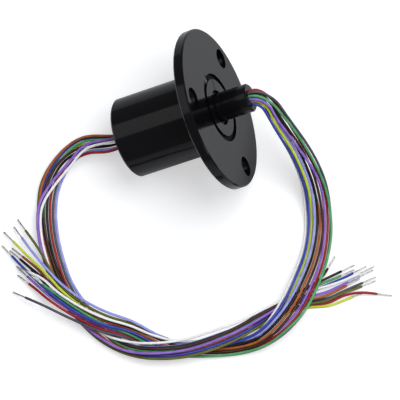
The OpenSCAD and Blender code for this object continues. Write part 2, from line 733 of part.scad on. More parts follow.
stator_leads = [
    stator_white, stator_violet, stator_orange, stator_brown, stator_olive, stator_blue,
    stator_green, stator_black, stator_yellow, stator_red, stator_slate, stator_periwinkle
];
rotor_leads = [
    rotor_white, rotor_violet, rotor_orange, rotor_brown, rotor_olive, rotor_blue,
    rotor_green, rotor_black, rotor_yellow, rotor_red, rotor_slate, rotor_periwinkle
];

module stator_lead_tips() {
    color("silver") for (lead = stator_leads) bare_end(curve(stator_points(lead)));
}

module rotor_lead_tips() {
    color("silver") for (lead = rotor_leads) bare_end(curve(rotor_points(lead)));
}

module stator_lead_white() { stator_lead(stator_white, "white"); }
module stator_lead_violet() { stator_lead(stator_violet, "#8a66c4"); }
module stator_lead_orange() { stator_lead(stator_orange, "#a05523"); }
module stator_lead_brown() { stator_lead(stator_brown, "#3e2a24"); }
module stator_lead_olive() { stator_lead(stator_olive, "#5e5e30"); }
module stator_lead_blue() { stator_lead(stator_blue, "#34449e"); }
module stator_lead_green() { stator_lead(stator_green, "#55a06a"); }
module stator_lead_black() { stator_lead(stator_black, "#16161a"); }
module stator_lead_yellow() { stator_lead(stator_yellow, "#bccb34"); }
module stator_lead_red() { stator_lead(stator_red, "#a02a2c"); }
module stator_lead_slate() { stator_lead(stator_slate, "#50555e"); }
module stator_lead_periwinkle() { stator_lead(stator_periwinkle, "#979ce0"); }
module rotor_lead_white() { rotor_lead(rotor_white, "white"); }
module rotor_lead_violet() { rotor_lead(rotor_violet, "#8a66c4"); }
module rotor_lead_orange() { rotor_lead(rotor_orange, "#a05523"); }
module rotor_lead_brown() { rotor_lead(rotor_brown, "#3e2a24"); }
module rotor_lead_olive() { rotor_lead(rotor_olive, "#5e5e30"); }
module rotor_lead_blue() { rotor_lead(rotor_blue, "#34449e"); }
module rotor_lead_green() { rotor_lead(rotor_green, "#55a06a"); }
module rotor_lead_black() { rotor_lead(rotor_black, "#16161a"); }
module rotor_lead_yellow() { rotor_lead(rotor_yellow, "#bccb34"); }
module rotor_lead_red() { rotor_lead(rotor_red, "#a02a2c"); }
module rotor_lead_slate() { rotor_lead(rotor_slate, "#50555e"); }
module rotor_lead_periwinkle() { rotor_lead(rotor_periwinkle, "#979ce0"); }

housing();
front_cover();
cover_key();
rotor_shaft();
snap_ring();
bearing_outer_races();
bearing_inner_races();
bearing_balls();
ball_cages();
contact_rings();
ring_spacers();
stack_sleeve();
brush_board();
brush_wires();
brush_bases();
rotor_fill();
rear_fill();
stator_lead_white();
stator_lead_violet();
stator_lead_orange();
stator_lead_brown();
stator_lead_olive();
stator_lead_blue();
stator_lead_green();
stator_lead_black();
stator_lead_yellow();
stator_lead_red();
stator_lead_slate();
stator_lead_periwinkle();
rotor_lead_white();
rotor_lead_violet();
rotor_lead_orange();
rotor_lead_brown();
rotor_lead_olive();
rotor_lead_blue();
rotor_lead_green();
rotor_lead_black();
rotor_lead_yellow();
rotor_lead_red();
rotor_lead_slate();
rotor_lead_periwinkle();
stator_lead_tips();
rotor_lead_tips();
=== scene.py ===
import bpy
import bmesh
import math
from mathutils import Matrix, Vector


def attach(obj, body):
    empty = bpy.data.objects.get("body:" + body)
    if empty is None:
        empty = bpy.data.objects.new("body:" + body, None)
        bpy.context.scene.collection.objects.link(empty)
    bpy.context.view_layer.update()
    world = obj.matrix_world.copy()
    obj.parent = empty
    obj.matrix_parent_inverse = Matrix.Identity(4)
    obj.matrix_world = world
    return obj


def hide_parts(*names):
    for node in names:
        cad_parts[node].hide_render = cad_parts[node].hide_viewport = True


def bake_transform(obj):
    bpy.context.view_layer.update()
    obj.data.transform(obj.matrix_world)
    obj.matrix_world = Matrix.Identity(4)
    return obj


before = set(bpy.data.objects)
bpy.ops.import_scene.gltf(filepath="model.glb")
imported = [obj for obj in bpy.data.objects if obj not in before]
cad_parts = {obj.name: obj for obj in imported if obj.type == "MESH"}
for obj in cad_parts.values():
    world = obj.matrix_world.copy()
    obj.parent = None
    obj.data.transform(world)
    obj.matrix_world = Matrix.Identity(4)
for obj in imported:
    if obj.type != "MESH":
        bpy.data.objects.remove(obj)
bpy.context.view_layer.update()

# ---------------------------------------------------------------- the camera
# A long lens a metre away looks steeply down on the table, a little from the
# left, so the flange is seen nearly edge on.
aim_at = Vector((0.00016, -0.01868, 0.0))
camera_turn = math.radians(-11.86)
camera_height = math.radians(76.47)
camera_roll = math.radians(-0.71)
camera_far = 1.0
width_in_view = 0.1089717

toward_camera = Vector((math.cos(camera_height) * math.sin(camera_turn),
                        -math.cos(camera_height) * math.cos(camera_turn),
                        math.sin(camera_height)))
level_right = Vector((math.cos(camera_turn), math.sin(camera_turn), 0))
level_up = toward_camera.cross(level_right)
right = math.cos(camera_roll) * level_right + math.sin(camera_roll) * level_up
up = -math.sin(camera_roll) * level_right + math.cos(camera_roll) * level_up
long_lens = bpy.data.cameras.new("long_lens")
long_lens.angle = 2 * math.atan(width_in_view / 2 / camera_far)
long_lens.clip_start = 0.05
camera = bpy.data.objects.new("camera", long_lens)
camera.matrix_world = Matrix.Translation(aim_at + camera_far * toward_camera) @ Matrix((
    (right.x, up.x, toward_camera.x), (right.y, up.y, toward_camera.y),
    (right.z, up.z, toward_camera.z))).to_4x4()
bpy.context.scene.collection.objects.link(camera)
bpy.context.scene.camera = camera

# ------------------------------------------------------------- stator leads
# Twelve 0.72 mm hook-up wires with extruded jackets come out of the rear wall,
# swing round the left side, run along the front and fan out at the right.
# They are held by the epoxy in the exit and lie on the table.
mm = 0.001
lead_across = 0.72 * mm
lead_sides = 12
narrowed = 0.93

# where the body stands: its axis leans up toward the shaft, and places along
# the axis are counted in mm from the middle of the flange's back
flange_across = 44.5
barrel_across = 22
barrel_long = 25
flange_back_x = 7.4
lean = math.atan((flange_across / 2 - barrel_across / 2) / barrel_long)
axis_way = Vector((math.cos(lean), 0, math.sin(lean)))
upper_way = Vector((-math.sin(lean), 0, math.cos(lean)))
flange_back = Vector((flange_back_x, 0, flange_across / 2 * math.cos(lean)))
rear_face = -barrel_long
inside_epoxy = 0.5
past_exit = 1

# in mm: x from the flange's back, y and height of the bundle's middle line,
# and the rise of each layer
stator_stations = [
    (-28, 0.2, 6.5, 0.85), (-35, 1.8, 3.6, 0.85), (-41.5, -0.8, 1.6, 0.8),
    (-46.2, -6.2, 0.6, 0.8), (-48.4, -12, 0.4, 0.8), (-49.5, -19.5, 0.4, 0.8),
    (-49.4, -27, 0.4, 0.8), (-48.4, -34.5, 0.4, 0.8), (-45.2, -42.5, 0.4, 0.8),
    (-40.2, -50, 0.5, 0.8), (-35.2, -54.8, 1.6, 0.8), (-29.5, -57.4, 2.9, 0.8),
    (-20, -58.8, 3, 0.8), (-10, -57.9, 3, 0.8), (-4, -56.7, 2.2, 0.8), (3, -54.4, 0.6, 0.8),
    (9, -52.6, 0.4, 0.8), (15, -51.8, 0.4, 0.8), (20.5, -51.4, 0.4, 0.8)
]
# for each lead its place in the exit, how far aside it lies at each station,
# its layer there, and the points of its free end, also in mm
stator_lanes = {
    "white": (
     (0.45, 1.27),
     [0, 1.2, 2.6, 1.2, -1.3, -2, -2, -2, -1.5, -0.4, 1.2, 1.8, 2.3, 2.3, 2, 1.8, 1.4, 1.4, 1.5],
     [3, 3, 3, 3, 3, 3, 3, 3, 3, 3, 3, 3, 2, 2, 2.2, 2.4, 3, 3, 1],
     [(24.5, -49.5, 1.1), (28, -48.75, 0.6), (30.8, -48.1, 0.45)]),
    "violet": (
     (-0.45, 1.27),
     [-0.9, 0.2, 1.6, 0, -2.2, -2.8, -2.8, -2.8, -2.4, -1.8, -1.4, -1, -0.6, -0.4, -0.2, 0, 0.2,
      -0.1, -0.2],
     [3, 3, 3, 3, 3, 3, 3, 3, 3, 3, 3, 3, 2, 2, 2.4, 3, 3, 3, 1],
     [(24, -50.7, 1.2), (26.8, -50, 1.1)]),
    "orange": (
     (-1, 0.42),
     [-2, -2.4, -2.2, -2.2, -2, -1.8, -1.6, -1.4, -1.2, -1.2, -1.2, -0.7, -0.7, -0.7, -0.35, 0,
      0, -0.8, -1],
     [2, 2, 2, 2, 2, 2, 2, 2, 2, 2, 2, 1.8, 1, 1, 1.5, 1.9, 2, 2, 1],
     [(23.5, -51.6, 1.05), (26.3, -50.8, 0.85)]),
    "brown": (
     (-0.1, 0.42),
     [-0.4, 0, -0.6, -1, -1, -0.8, -0.6, -0.4, 0, 0.4, 0.4, 0.4, 0.3, 0.5, 0.8, 1, 0.9, 2.2, 4],
     [2, 2, 2, 2, 2, 2, 2, 2, 2, 2, 2, 2, 2, 2, 2, 2, 2, 2, 1.8],
     [(22.3, -45.2, 1.4)]),
    "olive": (
     (-1.35, -1.27),
     [-1.8, -2.4, -2.4, -2.6, -2.4, -2.4, -2.4, -2.4, -2.2, -2.2, -1.9, -2.1, -2.3, -2.3, -1.8,
      -1.4, -1.5, -1.8, -2.4],
     [0, 0, 0.4, 1, 1, 1, 1, 1, 1, 1, 1, 1, 1, 1, 1, 1, 1, 1, 1],
     [(24.5, -52.6, 1.2), (27.5, -52.3, 0.6), (30.3, -51.8, 0.45)]),
    "blue": (
     (-1.35, -0.46),
     [-2, -2.2, -1.8, -1.6, -1.6, -1.6, -1.6, -1.6, -1.4, -1.4, -1.1, -1.3, -1.5, -1.5, -1.1,
      -0.6, -0.5, 0.8, 1.9],
     [1, 1, 1, 1, 1, 1, 1, 1, 1, 1, 1, 1, 1, 1, 1, 1, 1, 1, 0.1],
     [(24.5, -48.8, 0.4), (28.8, -47.7, 0.4)]),
    "green": (
     (-0.45, -0.46),
     [-1.2, -1.4, -1, -0.8, -0.8, -0.8, -0.8, -0.6, -0.4, -0.2, -0.2, 0, 0.1, 0.1, 0.3, 0.8, 0.8,
      1.7, 2.8],
     [1, 1, 1, 1, 1, 1, 1, 1, 1, 1, 1, 1, 1, 1, 1, 1, 1, 1, 0.1],
     [(22.5, -48.3, 0.4), (25.4, -47.7, 0.4)]),
    "black": (
     (0.45, -0.46),
     [0.6, 0.8, 0, 0, 0, 0, 0, 0.2, 0.4, 0.8, 0.6, 0.8, 0.9, 0.9, 1.1, 1.6, 1.6, 2.5, 3.4],
     [1] * 19,
     [(25.8, -46.6, 0.8)]),
    "yellow": (
     (-0.45, -1.27),
     [-0.8, -0.8, -1.2, -1.4, -1.4, -1.2, -1.2, -1.2, -1.2, -1.6, -1.6, -1.7, -1.8, -1.8, -1.6,
      -1.6, -1.8, -2.6, -3.8],
     [0] * 19,
     [(24.5, -54.5, 0.4), (27.4, -54.1, 0.4)]),
    "red": (
     (1.35, -0.46),
     [2.2, 2.1, 1.4, 0.8, 0.8, 0.8, 0.8, 0.8, 0.6, 0, -0.8, -0.8, -0.8, -0.8, -0.8, -0.8, -1,
      -1.8, -3],
     [1, 1, 1, 1, 0.4, 0, 0, 0, 0, 0, 0, 0, 0, 0, 0, 0, 0, 0, 0],
     [(24.5, -53.2, 0.45), (29.5, -53.5, 1.2), (33.8, -54.8, 0.75)]),
    "slate": (
     (0.45, -1.27),
     [0.3, 0.4, 1, 1.6, 1.6, 1.6, 1.6, 1.6, 1.4, 0.8, 0.1, 0.2, 0.2, 0.2, 0, 0, 0, -0.8, -1.7],
     [0] * 19,
     [(24.5, -52.15, 0.4), (30.7, -50.9, 0.4)]),
    "periwinkle": (
     (1.35, -1.27),
     [1.3, 1.5, 2, 2.4, 2.4, 2.4, 2.4, 2.4, 2.4, 1.8, 1, 1.2, 1.2, 1.2, 1, 1, 1, 0.4, 0.1],
     [0] * 19,
     [(24.5, -50.4, 0.4), (30.4, -49, 0.4)]),
}


def axis_point(along, aside, high):
    return flange_back + along * axis_way + Vector((0, -aside, 0)) + high * upper_way


def laid_points(stations, side, lane):
    points = []
    last = len(stations) - 1
    for i, (x, y, low, rise) in enumerate(stations):
        before, beyond = stations[max(i - 1, 0)], stations[min(i + 1, last)]
        way = Vector((beyond[0] - before[0], beyond[1] - before[1], 0)).normalized()
        aside = Vector((-way.y, way.x, 0)) * side * lane[1][i]
        points.append(Vector((x + flange_back.x, y, low + rise * lane[2][i])) + aside)
    return points + [Vector(p) + Vector((flange_back.x, 0, 0)) for p in lane[3]]


def through(points, steps=8):
    """Points on a curve through the given ones, whose knots keep short spans from kinking."""
    ends = [2 * points[0] - points[1]] + points + [2 * points[-1] - points[-2]]
    curve = []
    for a, b, c, d in zip(ends, ends[1:], ends[2:], ends[3:]):
        at_b = math.sqrt((b - a).length)
        at_c = at_b + math.sqrt((c - b).length)
        at_d = at_c + math.sqrt((d - c).length)
        for k in range(steps):
            t = at_b + (at_c - at_b) * k / steps
            ab = a.lerp(b, t / at_b)
            bc = b.lerp(c, (t - at_b) / (at_c - at_b))
            cd = c.lerp(d, (t - at_c) / (at_d - at_c))
            abc = ab.lerp(bc, t / at_c)
            bcd = bc.lerp(cd, (t - at_b) / (at_d - at_b))
            curve.append(abc.lerp(bcd, (t - at_b) / (at_c - at_b)))
    return curve + [points[-1]]


def springy_route(points, spacing=1.0, passes=4):
    """An even route in metres, with its corners rounded as the wire's springiness does."""
    curve = through(points)
    lengths = [(b - a).length for a, b in zip(curve, curve[1:])]
    count = round(sum(lengths) / spacing)
    step = sum(lengths) / count
    route = []
    gone = 0
    for a, b, span in zip(curve, curve[1:], lengths):
        while len(route) * step <= gone + span and len(route) < count:
            route.append(a.lerp(b, (len(route) * step - gone) / span))
        gone += span
    route.append(curve[-1])
    for _ in range(passes):
        middle = [(a + 2 * b + c) / 4 for a, b, c in zip(route, route[1:], route[2:])]
        route = [route[0]] + middle + [route[-1]]
    return [point * mm for point in route]


def sweep(mesh, route, widths, sides):
    """Adds a round tube with closed ends along a route, with a width for each point."""
    ring_before = None
    across = None
    for i, point in enumerate(route):
        way = (route[min(i + 1, len(route) - 1)] - route[max(i - 1, 0)]).normalized()
        if across is None:
            across = way.orthogonal().normalized()
        across = (across - across.dot(way) * way).normalized()
        other = way.cross(across)
        ring = [mesh.verts.new(point + widths[i] / 2 * (
            math.cos(2 * math.pi * k / sides) * across + math.sin(2 * math.pi * k / sides) * other))
            for k in range(sides)]
        if ring_before:
            for k in range(sides):
                j = (k + 1) % sides
                mesh.faces.new((ring_before[k], ring_before[j], ring[j], ring[k])).smooth = True
        else:
            mesh.faces.new(ring[::-1])
        ring_before = ring
    mesh.faces.new(ring_before)


def as_piece(mesh, name, material):
    data = bpy.data.meshes.new(name)
    mesh.to_mesh(data)
    mesh.free()
    data.materials.append(material)
    piece = bpy.data.objects.new(name, data)
    bpy.context.scene.collection.objects.link(piece)
    return piece


def new_group(name, inputs, outputs):
    group = bpy.data.node_groups.new(name, "ShaderNodeTree")
    for label, kind, value in inputs:
        socket = group.interface.new_socket(label, in_out="INPUT", socket_type=kind)
        socket.default_value = value
    for label, kind in outputs:
        group.interface.new_socket(label, in_out="OUTPUT", socket_type=kind)
    return group, group.nodes.new("NodeGroupInput"), group.nodes.new("NodeGroupOutput")


# extruded jacket: a faintly cloudy colour, handling marks in the gloss and a
# slightly uneven skin
jacket_skin, put_in, put_out = new_group("jacket_skin", [
    ("Color", "NodeSocketColor", (1, 1, 1, 1)), ("Worn Color", "NodeSocketColor", (1, 1, 1, 1)),
    ("Gloss", "NodeSocketFloat", 0.35)], [
    ("Color", "NodeSocketColor"), ("Roughness", "NodeSocketFloat"), ("Height", "NodeSocketFloat")])
where = jacket_skin.nodes.new("ShaderNodeTexCoord")
clouds = jacket_skin.nodes.new("ShaderNodeTexNoise")
clouds.inputs["Scale"].default_value = 420
clouds.inputs["Detail"].default_value = 3
speckle = jacket_skin.nodes.new("ShaderNodeTexNoise")
speckle.inputs["Scale"].default_value = 3200
speckle.inputs["Detail"].default_value = 2
blend_colors = jacket_skin.nodes.new("ShaderNodeMix")
blend_colors.data_type = "RGBA"
cloud_range = jacket_skin.nodes.new("ShaderNodeMapRange")
cloud_range.inputs["From Min"].default_value = 0.4
cloud_range.inputs["From Max"].default_value = 0.75
gloss_range = jacket_skin.nodes.new("ShaderNodeMath")
gloss_range.operation = "MULTIPLY_ADD"
gloss_range.inputs[1].default_value = 0.25
put_together = jacket_skin.nodes.new("ShaderNodeMath")
put_together.operation = "MULTIPLY_ADD"
put_together.inputs[1].default_value = 0.35
wires = jacket_skin.links
wires.new(where.outputs["Object"], clouds.inputs["Vector"])
wires.new(where.outputs["Object"], speckle.inputs["Vector"])
wires.new(clouds.outputs["Fac"], cloud_range.inputs["Value"])
wires.new(cloud_range.outputs["Result"], blend_colors.inputs["Factor"])
wires.new(put_in.outputs["Color"], blend_colors.inputs["A"])
wires.new(put_in.outputs["Worn Color"], blend_colors.inputs["B"])
wires.new(blend_colors.outputs["Result"], put_out.inputs["Color"])
wires.new(clouds.outputs["Fac"], gloss_range.inputs[0])
wires.new(put_in.outputs["Gloss"], gloss_range.inputs[2])
wires.new(gloss_range.outputs["Value"], put_out.inputs["Roughness"])
wires.new(speckle.outputs["Fac"], put_together.inputs[0])
wires.new(clouds.outputs["Fac"], put_together.inputs[2])
wires.new(put_together.outputs["Value"], put_out.inputs["Height"])

# jacket colours and their lighter, rubbed shade
jacket_colors = {
    "white": ((0.93, 0.93, 0.94), (0.86, 0.86, 0.88)),
    "violet": ((0.25, 0.12, 0.56), (0.34, 0.20, 0.66)),
    "orange": ((0.36, 0.085, 0.016), (0.46, 0.14, 0.03)),
    "brown": ((0.040, 0.014, 0.010), (0.07, 0.025, 0.018)),
    "olive": ((0.11, 0.115, 0.022), (0.16, 0.16, 0.035)),
    "blue": ((0.030, 0.050, 0.34), (0.05, 0.08, 0.45)),
    "green": ((0.075, 0.33, 0.12), (0.14, 0.45, 0.20)),
    "black": ((0.003, 0.003, 0.005), (0.008, 0.008, 0.010)),
    "yellow": ((0.56, 0.66, 0.025), (0.68, 0.76, 0.08)),
    "red": ((0.32, 0.010, 0.018), (0.42, 0.02, 0.03)),
    "slate": ((0.06, 0.068, 0.09), (0.09, 0.10, 0.125)),
    "periwinkle": ((0.28, 0.31, 0.78), (0.40, 0.43, 0.86)),
}


def skinned(name, skin_tree, settings, relief, relief_depth):
    """A material whose colour, roughness and relief come from a shared skin."""
    material = bpy.data.materials.new(name)
    material.use_nodes = True
    nodes, links = material.node_tree.nodes, material.node_tree.links
    shader = nodes["Principled BSDF"]
    skin = nodes.new("ShaderNodeGroup")
    skin.node_tree = skin_tree
    for label, value in settings.items():
        skin.inputs[label].default_value = value
    bump = nodes.new("ShaderNodeBump")
    bump.inputs["Strength"].default_value = relief
    bump.inputs["Distance"].default_value = relief_depth
    links.new(skin.outputs["Color"], shader.inputs["Base Color"])
    links.new(skin.outputs["Roughness"], shader.inputs["Roughness"])
    links.new(skin.outputs["Height"], bump.inputs["Height"])
    links.new(bump.outputs["Normal"], shader.inputs["Normal"])
    return material, shader


jackets = {}
for color, (plain, worn) in jacket_colors.items():
    settings = {"Color": (*plain, 1), "Worn Color": (*worn, 1), "Gloss": 0.30}
    jackets[color], shader = skinned("jacket_" + color, jacket_skin, settings, 0.25, 0.00003)
    shader.inputs["Specular IOR Level"].default_value = 0.3


def lead_piece(name, route, color):
    mesh = bmesh.new()
    widths = [lead_across] * len(route)
    widths[-1] = lead_across * narrowed
    sweep(mesh, route, widths, lead_sides)
    return as_piece(mesh, name, jackets[color])


stator_ends = []
for color, lane in stator_lanes.items():
    points = [axis_point(rear_face + inside_epoxy, *lane[0]),
              axis_point(rear_face - past_exit, *lane[0])]
    route = springy_route(points + laid_points(stator_stations, 1, lane))
    stator_ends.append(route[-2:])
    lead = lead_piece("stator_wire_" + color, route, color)
    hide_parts("stator_lead_" + color)
    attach(lead, "housing")

# -------------------------------------------------------------- rotor leads
# The same wire comes out of the hollow shaft, arches down to the table at the
# right, crosses the front of the loop and ends in a fan at the left.
shaft_end = 12.0
inside_bore = 2.5
past_shaft = 1.6
spread_aside = 1.5
spread_high = 1.2
sag = Vector((0, -0.3, -0.1))
rotor_stations = [
    (15.3, -2.8, 23.5, 1.05), (17, -6.5, 20.9, 1.1), (19, -10.1, 16.8, 1.2),
    (21, -14, 12.4, 1.2), (22.7, -18.4, 8.1, 1.15), (23.8, -22.9, 4.6, 1),
    (23.8, -28.7, 1.8, 0.85), (22.6, -34.5, 0.7, 0.8), (20, -41, 1.4, 0.8),
    (16.2, -47.2, 3.7, 0.85), (11.2, -53.4, 3.8, 0.8), (6, -57.5, 3.5, 0.8),
    (0.5, -60.3, 1.9, 0.8), (-5, -60.8, 0.65, 0.8), (-14, -59.6, 0.5, 0.8),
    (-22, -57.3, 0.45, 0.8), (-28, -53.5, 0.8, 0.8), (-33.3, -49.8, 2.6, 0.85),
    (-39.8, -46.2, 3.9, 0.85), (-45.5, -41.4, 3.8, 0.8), (-50.8, -35.2, 3.8, 0.8)
]
rotor_lanes = {
    "white": (
     (1.2, -0.85),
     [1.8, 2, 2.2, 2.4, 2.8, 3.4, 3.8, 3.9, 3.9, 3.9, 3.7, 2.8, 2, 2, 2.1, 1.3, 0.4, 0.2, 0,
      -0.2, -0.6],
     [0, 0, 0, 0, 0, 0, 0, 0, 0, 0, 0, 0, 0, 0, 1, 2, 2, 2, 2, 2, 2],
     [(-53.3, -32.2, 4.9), (-57, -28.9, 3.4)]),
    "violet": (
     (0.6, 0.85),
     [0.4, 0.6, 0.4, 0, -0.8, -1.4, -1.3, -1.3, -1.5, -1.6, -1.6, -1.4, -0.6, -0.4, -0.4, -0.4,
      -1.3, -1.8, -2, -2.2, -2.6],
     [2, 2, 2, 2, 2, 1.1, 0, 0, 0, 0, 0, 0, 0, 0, 0, 0, 0, 0, 0, 0, 0],
     [(-55.4, -33, 2.8), (-57.6, -29.6, 1.6)]),
    "orange": (
     (-0.4, -0.85),
     [0.2, 0.4, 0.6, 0.6, 0.8, 0.6, 0.2, 0, 0.1, 0.1, 0.1, -0.2, -0.4, -0.4, -0.4, -0.8, -0.5,
      -0.4, -0.5, -0.5, -0.4],
     [0, 0, 0, 0, 0, 0, 0.2, 1, 1, 1, 1, 1, 1, 1, 1, 1, 0.8, 0.2, 0, 0, 0],
     [(-53.1, -30.6, 2.9), (-55.3, -27.2, 2.4), (-57.7, -23.9, 1.4)]),
    "brown": (
     (-1.2, -0.85),
     [-0.8, -0.8, -0.8, -0.9, -0.8, -0.5, -0.5, -0.8, -0.7, -0.7, -0.7, -1, -1.2, -1.2, -1.2,
      -1.6, -1.3, -1.1, -1.3, -1.3, -1.3],
     [0, 0, 0.5, 1, 1, 1, 1, 1, 1, 1, 1, 1, 1, 1, 1, 1, 1.1, 0.6, 0, 0, 0],
     [(-54, -31.4, 2.7), (-56.1, -28.1, 1.5)]),
    "olive": (
     (0.4, -0.85),
     [1, 1.2, 1.4, 1.6, 2, 2.6, 3, 3.1, 3.1, 3.1, 2.9, 2, 1.3, 1.2, 1.2, 1.3, 1.3, 1.2, 1.1, 1.2,
      1.5],
     [0] * 21,
     [(-51, -30, 4), (-52.9, -23.5, 3.4), (-55.4, -17, 1.6)]),
    "blue": (
     (1.6, 0),
     [1.8, 2.2, 2.4, 2.4, 2.6, 2.8, 3.1, 3.1, 3.1, 3.1, 2.8, 2.2, 1.8, 1.2, -0.2, -1.4, -1.4,
      -1.3, -1.8, -1.9, -2],
     [1, 1, 1, 1, 1, 1, 1, 1, 1, 1, 1, 1.2, 2, 2, 2, 2, 2.1, 2.1, 1.9, 1.1, 1],
     [(-55, -32.2, 3.3), (-57.6, -28, 1.9), (-60.5, -23, 1)]),
    "green": (
     (-0.2, 0.85),
     [-0.6, -1.2, -1.7, -2, -2.2, -2.5, -2.8, -3.1, -3.2, -3.3, -3.3, -2.8, -2.3, -2, -2.2, -2.4,
      -2.1, -1.9, -1.4, -1, -1.2],
     [2, 2, 1.6, 1, 1, 1, 1, 1, 1, 1, 1, 1, 1, 1, 1, 1, 1, 1.1, 1, 1, 1],
     [(-53.9, -33.4, 4.7)]),
    "black": (
     (-0.8, 0),
     [-0.6, -0.2, 0, 0, 0.2, 0.4, 0.7, 0.8, 0.9, 0.9, 0.9, 0.6, 0.4, 0.4, 0.4, 0, 0.3, 0, 0, 0,
      -0.3],
     [1] * 21,
     [(-53.6, -31.3, 3.9), (-55.8, -28.4, 3), (-58.5, -24.5, 1.6)]),
    "yellow": (
     (0.8, 0),
     [0.9, 1.4, 1.6, 1.6, 1.8, 2, 2.2, 2.3, 2.3, 2.3, 2.1, 1.2, 0.5, 0.4, 0.4, 0.5, 0.5, 0.4,
      0.3, 0.3, 0.7],
     [1, 1, 1, 1, 1, 0.8, 0, 0, 0, 0, 0, 0, 0, 0, 0, 0, 0, 0, 0, 0, 0.9],
     [(-52.3, -31, 5.3), (-54.9, -26.8, 3.9), (-59.3, -19.3, 1.6)]),
    "red": (
     (-1.6, 0),
     [-1.8, -1.9, -1.8, -1.8, -1.9, -2.2, -2.1, -2.1, -2.3, -2.4, -2.4, -2.2, -1.4, -1.2, -1.2,
      -1.2, -2.1, -2.5, -2.8, -3, -3.5],
     [0] * 21,
     [(-55.6, -34.2, 2), (-57.6, -31.6, 1.3)]),
    "slate": (
     (-1, 0.85),
     [-2, -2.3, -2.5, -2.8, -3.1, -3.1, -2.9, -2.9, -3.1, -3.2, -3.2, -3, -2.2, -2, -2, -2, -2.8,
      -3.1, -3.6, -4, -5.6],
     [1.1, 1, 1, 1, 0.6, 0, 0, 0, 0, 0, 0, 0, 0, 0, 0, 0, 0.2, 0.8, 0.7, 0, 0],
     [(-59.3, -35.3, 2)]),
    "periwinkle": (
     (0, 0),
     [0.2, 0.6, 0.8, 0.8, 1, 1.2, 1.5, 1.6, 1.7, 1.7, 1.7, 1.4, 1.2, 1.2, 1.2, 0.8, 1.2, 1.7,
      1.9, 1.9, 1.9],
     [1] * 21,
     [(-51.5, -30.4, 4.8), (-54.7, -23.9, 3.2), (-56.8, -18.8, 1.8)]),
}

rotor_ends = []
for color, lane in rotor_lanes.items():
    aside, high = lane[0]
    points = [axis_point(shaft_end - inside_bore, aside, high), axis_point(shaft_end, aside, high),
              axis_point(shaft_end + past_shaft, aside * spread_aside, high * spread_high) + sag]
    route = springy_route(points + laid_points(rotor_stations, -1, lane))
    rotor_ends.append(route[-2:])
    lead = lead_piece("rotor_wire_" + color, route, color)
    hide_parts("rotor_lead_" + color)
    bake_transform(lead)

# ----------------------------------------------------------- stripped ends
# Each wire is stripped for 4 mm: seven tinned copper strands, twisted and
# dipped, that go straight on from the jacket.
stripped = 4 * mm
bare_across = 0.44 * mm
strand_across = 0.155 * mm
strand_count = 7
strand_steps = 14
strand_sides = 6
twist_turns = 0.9
tinned = bpy.data.materials.new("tinned_copper")
tinned.use_nodes = True
nodes, links = tinned.node_tree.nodes, tinned.node_tree.links
shader = nodes["Principled BSDF"]
shader.inputs["Metallic"].default_value = 1.0
where = nodes.new("ShaderNodeTexCoord")
dull_spots = nodes.new("ShaderNodeTexNoise")
dull_spots.inputs["Scale"].default_value = 1800
dull_spots.inputs["Detail"].default_value = 4
tin_tones = nodes.new("ShaderNodeValToRGB")
tin_tones.color_ramp.elements[0].position = 0.35
tin_tones.color_ramp.elements[0].color = (0.42, 0.42, 0.42, 1)
tin_tones.color_ramp.elements[1].position = 0.7
tin_tones.color_ramp.elements[1].color = (0.88, 0.88, 0.87, 1)
tin_gloss = nodes.new("ShaderNodeMapRange")
tin_gloss.inputs["To Min"].default_value = 0.22
tin_gloss.inputs["To Max"].default_value = 0.55
tin_bump = nodes.new("ShaderNodeBump")
tin_bump.inputs["Strength"].default_value = 0.4
tin_bump.inputs["Distance"].default_value = 0.00002
links.new(where.outputs["Object"], dull_spots.inputs["Vector"])
links.new(dull_spots.outputs["Fac"], tin_tones.inputs["Fac"])
links.new(dull_spots.outputs["Fac"], tin_gloss.inputs["Value"])
links.new(dull_spots.outputs["Fac"], tin_bump.inputs["Height"])
links.new(tin_tones.outputs["Color"], shader.inputs["Base Color"])
links.new(tin_gloss.outputs["Result"], shader.inputs["Roughness"])
links.new(tin_bump.outputs["Normal"], shader.inputs["Normal"])


def strands(mesh, before, end):
    """One straight strand in the middle and the others twisted round it."""
    way = (end - before).normalized()
    across = way.orthogonal().normalized()
    other = way.cross(across)
    for k in range(strand_count):
        off_center = 0 if k == 0 else (bare_across - strand_across) / 2
        route = []
        for j in range(strand_steps + 1):
            far = stripped * j / strand_steps
            angle = 2 * math.pi * (k / (strand_count - 1) + twist_turns * j / strand_steps)
            round_way = math.cos(angle) * across + math.sin(angle) * other
            route.append(end + far * way + off_center * round_way)
        sweep(mesh, route, [strand_across] * (strand_steps + 1), strand_sides)


for side, ends in (("stator", stator_ends), ("rotor", rotor_ends)):
    mesh = bmesh.new()
    for before, end in ends:
        strands(mesh, before, end)
    bare = as_piece(mesh, side + "_wire_ends", tinned)
    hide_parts(side + "_lead_tips")
    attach(bare, "housing")

# ----------------------------------------------------------------- housing
# Barrel and flange are one moulding in black plastic. Its skin is smooth, so
# the lamps show in it as bands along the barrel, and it is faintly patchy.
plastic_skin, put_in, put_out = new_group("plastic_skin", [
    ("Base", "NodeSocketColor", (0.01, 0.01, 0.012, 1)),
    ("Pale", "NodeSocketColor", (0.03, 0.03, 0.033, 1)),
    ("Gloss", "NodeSocketFloat", 0.3), ("Scale", "NodeSocketFloat", 900)], [
    ("Color", "NodeSocketColor"), ("Roughness", "NodeSocketFloat"), ("Height", "NodeSocketFloat")])
where = plastic_skin.nodes.new("ShaderNodeTexCoord")
grain = plastic_skin.nodes.new("ShaderNodeTexNoise")
grain.inputs["Detail"].default_value = 4
patches = plastic_skin.nodes.new("ShaderNodeTexNoise")
patches.inputs["Scale"].default_value = 110
patches.inputs["Detail"].default_value = 2
patch_range = plastic_skin.nodes.new("ShaderNodeMapRange")
patch_range.inputs["From Min"].default_value = 0.45
